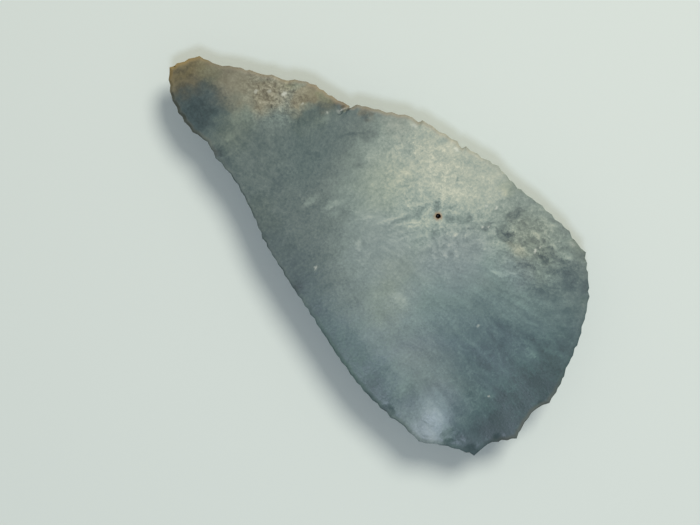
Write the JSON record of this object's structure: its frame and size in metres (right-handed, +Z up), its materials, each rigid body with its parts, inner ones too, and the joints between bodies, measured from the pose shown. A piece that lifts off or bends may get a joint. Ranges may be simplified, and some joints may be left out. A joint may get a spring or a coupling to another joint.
{
  "type": "uniface knife",
  "caption": "Leaf-shaped knapped flint knife with one smooth, slightly bowed face, a back worked all over in flake scars, a broad rounded butt and a narrow blunt point.",
  "frame": {"origin": "on the surface that the knife lies on, under the middle of its outline", "axes": "+Y from the butt towards the point, +X to the right seen from above, +Z up with the smooth bulbar face on top"},
  "size_m": [0.0546, 0.1072, 0.0107],
  "materials": {
    "flint": "satin, mottled blue-grey and cream with a tan point"
  },
  "bodies": {
    "root": {"flint_knife": "flint"}
  },
  "joints": []
}
